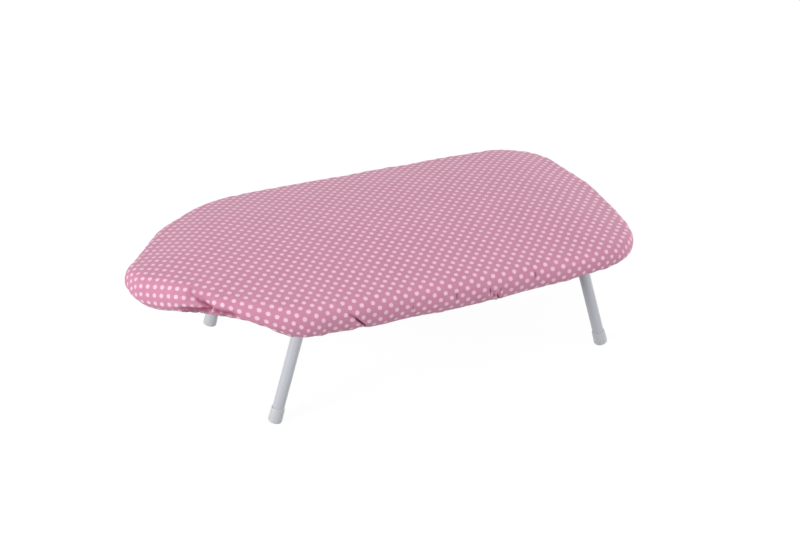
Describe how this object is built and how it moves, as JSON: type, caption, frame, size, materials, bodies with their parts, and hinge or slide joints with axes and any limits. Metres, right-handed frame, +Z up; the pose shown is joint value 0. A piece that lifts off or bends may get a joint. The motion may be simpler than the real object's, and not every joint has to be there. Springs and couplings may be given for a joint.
{
  "type": "tabletop ironing board",
  "caption": "Tabletop ironing board with a blunt nose, a crowned pad under an elastic-hemmed polka-dot cover, a vented steel deck and splayed tube leg frames that fold flat.",
  "frame": {"origin": "on the table top, under the middle of the board's box", "axes": "+X along the board from nose to tail, +Y to the board's left, +Z up"},
  "size_m": [0.7078, 0.3818, 0.1998],
  "materials": {
    "printed_cotton": "woven cotton, pink with white dots",
    "binding_tape": "folded cotton tape",
    "elastic": "braided elastic",
    "pad_foam": "needled felt and foam",
    "white_coated_steel": "satin powder coat",
    "white_coated_tube": "satin powder coat",
    "zinc_steel": "zinc plated",
    "foot_plastic": "moulded, slightly translucent"
  },
  "bodies": {
    "board": {"cover": "printed_cotton", "hem_binding": "binding_tape", "hem_elastic": "elastic", "pad": "pad_foam", "deck": "white_coated_steel", "front_brace": "white_coated_steel", "rear_brace": "white_coated_steel", "front_strap_left": "zinc_steel", "front_strap_right": "zinc_steel", "rear_strap_left": "zinc_steel", "rear_strap_right": "zinc_steel", "front_rivet_left_fore": "zinc_steel", "front_rivet_left_aft": "zinc_steel", "front_rivet_right_fore": "zinc_steel", "front_rivet_right_aft": "zinc_steel", "rear_rivet_left_fore": "zinc_steel", "rear_rivet_left_aft": "zinc_steel", "rear_rivet_right_fore": "zinc_steel", "rear_rivet_right_aft": "zinc_steel", "front_clip_left": "zinc_steel", "front_clip_right": "zinc_steel", "rear_clip_left": "zinc_steel", "rear_clip_right": "zinc_steel"},
    "front_legs": {"front_leg_frame": "white_coated_tube", "front_foot_left": "foot_plastic", "front_foot_right": "foot_plastic"},
    "rear_legs": {"rear_leg_frame": "white_coated_tube", "rear_foot_left": "foot_plastic", "rear_foot_right": "foot_plastic"}
  },
  "joints": [
    {"name": "front_fold", "type": "hinge", "parent": "board", "child": "front_legs", "pos_m": [-0.1579, 0, 0.1518], "axis": [0, -1, 0], "range_deg": [0, 106]},
    {"name": "rear_fold", "type": "hinge", "parent": "board", "child": "rear_legs", "pos_m": [0.2576, 0, 0.1518], "axis": [0, 1, 0], "range_deg": [0, 106]}
  ]
}
